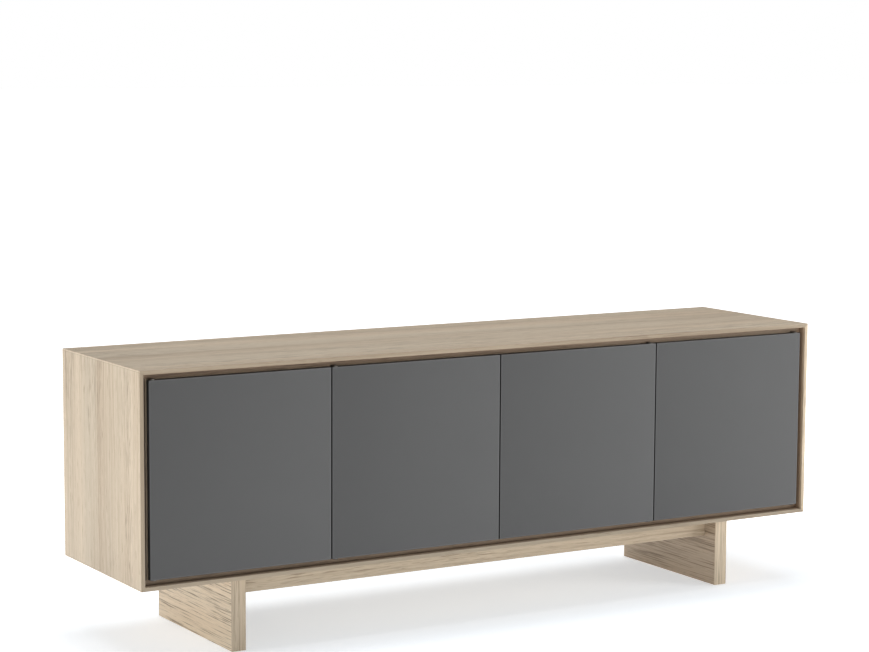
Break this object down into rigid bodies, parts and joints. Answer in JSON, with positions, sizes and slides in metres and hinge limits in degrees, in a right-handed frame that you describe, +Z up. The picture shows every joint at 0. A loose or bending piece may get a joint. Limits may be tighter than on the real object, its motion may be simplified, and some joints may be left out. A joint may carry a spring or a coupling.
{
  "type": "console television cabinet",
  "caption": "Low media console: a bleached-oak case with grey perforated doors in a dark reveal, shelved bays, and a plank-leg base with a rail.",
  "frame": {"origin": "on the floor, under the middle of the footprint", "axes": "+X along the width to the right seen from the front, -Y out of the front, +Z up"},
  "size_m": [2, 0.475, 0.711],
  "materials": {
    "beech": "plain",
    "black_plastic": "fine matte texture",
    "bright_steel": "bright zinc",
    "brown_trim": "dark brown stained, matte",
    "dark_back": "matte dark lacquered board",
    "door_frame_metal": "satin black powder coat",
    "foot_plastic": "matte moulding",
    "insert_brass": "turned",
    "latch_plastic": "matte grey moulding",
    "nylon_washer": "smooth nylon",
    "oak_case": "matte bleached oak veneer, long straight grain",
    "oak_inside": "matte bleached oak veneer",
    "oak_leg": "matte bleached oak with dark open pores",
    "oak_rail": "matte bleached oak",
    "perforated_steel": "micro-perforated sheet, satin grey powder coat",
    "pin_nickel": "nickel plate",
    "plate_steel": "dark bronze finish",
    "screw_steel": "zinc"
  },
  "bodies": {
    "cabinet": {"back_panel_screws": "screw_steel", "base_screws": "screw_steel", "bottom_panel": "oak_case", "cable_port_grommets": "black_plastic", "centre_back_panel": "dark_back", "centre_shelf": "oak_inside", "front_rail": "oak_rail", "left_back_panel": "dark_back", "left_leg": "oak_leg", "left_partition": "oak_inside", "left_shelf": "oak_inside", "left_side_panel": "oak_case", "leg_bracket_screws": "screw_steel", "leg_brackets": "plate_steel", "leveller_inserts": "insert_brass", "mitre_splines": "beech", "partition_dowels": "beech", "partition_grommets": "black_plastic", "pivot_plate_screws": "screw_steel", "pivot_plates": "plate_steel", "pivot_washers": "nylon_washer", "push_latch_bodies": "latch_plastic", "push_latch_screws": "screw_steel", "rail_dowels": "beech", "rear_rail": "oak_rail", "reveal_trim_bottom": "brown_trim", "reveal_trim_left": "brown_trim", "reveal_trim_right": "brown_trim", "reveal_trim_top": "brown_trim", "right_back_panel": "dark_back", "right_leg": "oak_leg", "right_partition": "oak_inside", "right_shelf": "oak_inside", "right_side_panel": "oak_case", "shelf_pins": "pin_nickel", "top_panel": "oak_case"},
    "door_1": {"door_1_perforated_panel": "perforated_steel", "door_1_frame": "door_frame_metal", "door_1_pivot_pins": "bright_steel", "door_1_strike_plate": "bright_steel"},
    "door_2": {"door_2_perforated_panel": "perforated_steel", "door_2_frame": "door_frame_metal", "door_2_pivot_pins": "bright_steel", "door_2_strike_plate": "bright_steel"},
    "door_3": {"door_3_perforated_panel": "perforated_steel", "door_3_frame": "door_frame_metal", "door_3_pivot_pins": "bright_steel", "door_3_strike_plate": "bright_steel"},
    "door_4": {"door_4_perforated_panel": "perforated_steel", "door_4_frame": "door_frame_metal", "door_4_pivot_pins": "bright_steel", "door_4_strike_plate": "bright_steel"},
    "plunger_1": {"door_1_latch_plunger": "latch_plastic"},
    "plunger_2": {"door_2_latch_plunger": "latch_plastic"},
    "plunger_3": {"door_3_latch_plunger": "latch_plastic"},
    "plunger_4": {"door_4_latch_plunger": "latch_plastic"},
    "foot_front_left": {"levelling_foot_front_left": "foot_plastic"},
    "foot_front_right": {"levelling_foot_front_right": "foot_plastic"},
    "foot_rear_left": {"levelling_foot_rear_left": "foot_plastic"},
    "foot_rear_right": {"levelling_foot_rear_right": "foot_plastic"}
  },
  "joints": [
    {"name": "door_1_hinge", "type": "hinge", "parent": "cabinet", "child": "door_1", "pos_m": [-0.9629, -0.2265, 0.447], "axis": [0, 0, -1], "range_deg": [0, 95]},
    {"name": "door_2_hinge", "type": "hinge", "parent": "cabinet", "child": "door_2", "pos_m": [-0.47445, -0.2265, 0.447], "axis": [0, 0, -1], "range_deg": [0, 95]},
    {"name": "door_3_hinge", "type": "hinge", "parent": "cabinet", "child": "door_3", "pos_m": [0.47445, -0.2265, 0.447], "axis": [0, 0, 1], "range_deg": [0, 95]},
    {"name": "door_4_hinge", "type": "hinge", "parent": "cabinet", "child": "door_4", "pos_m": [0.9629, -0.2265, 0.447], "axis": [0, 0, 1], "range_deg": [0, 95]},
    {"name": "door_1_latch_push", "type": "slide", "parent": "cabinet", "child": "plunger_1", "axis": [0, -1, 0], "range_m": [0, 0.014]},
    {"name": "door_2_latch_push", "type": "slide", "parent": "cabinet", "child": "plunger_2", "axis": [0, -1, 0], "range_m": [0, 0.014]},
    {"name": "door_3_latch_push", "type": "slide", "parent": "cabinet", "child": "plunger_3", "axis": [0, -1, 0], "range_m": [0, 0.014]},
    {"name": "door_4_latch_push", "type": "slide", "parent": "cabinet", "child": "plunger_4", "axis": [0, -1, 0], "range_m": [0, 0.014]},
    {"name": "foot_front_left_screw", "type": "slide", "parent": "cabinet", "child": "foot_front_left", "axis": [0, 0, -1], "range_m": [0, 0.012]},
    {"name": "foot_front_right_screw", "type": "slide", "parent": "cabinet", "child": "foot_front_right", "axis": [0, 0, -1], "range_m": [0, 0.012]},
    {"name": "foot_rear_left_screw", "type": "slide", "parent": "cabinet", "child": "foot_rear_left", "axis": [0, 0, -1], "range_m": [0, 0.012]},
    {"name": "foot_rear_right_screw", "type": "slide", "parent": "cabinet", "child": "foot_rear_right", "axis": [0, 0, -1], "range_m": [0, 0.012]}
  ],
  "couplings": [
    {"joint": "door_1_latch_push", "follows": "door_1_hinge", "m_per_rad": 0.00844},
    {"joint": "door_2_latch_push", "follows": "door_2_hinge", "m_per_rad": 0.00844},
    {"joint": "door_3_latch_push", "follows": "door_3_hinge", "m_per_rad": 0.00844},
    {"joint": "door_4_latch_push", "follows": "door_4_hinge", "m_per_rad": 0.00844}
  ]
}
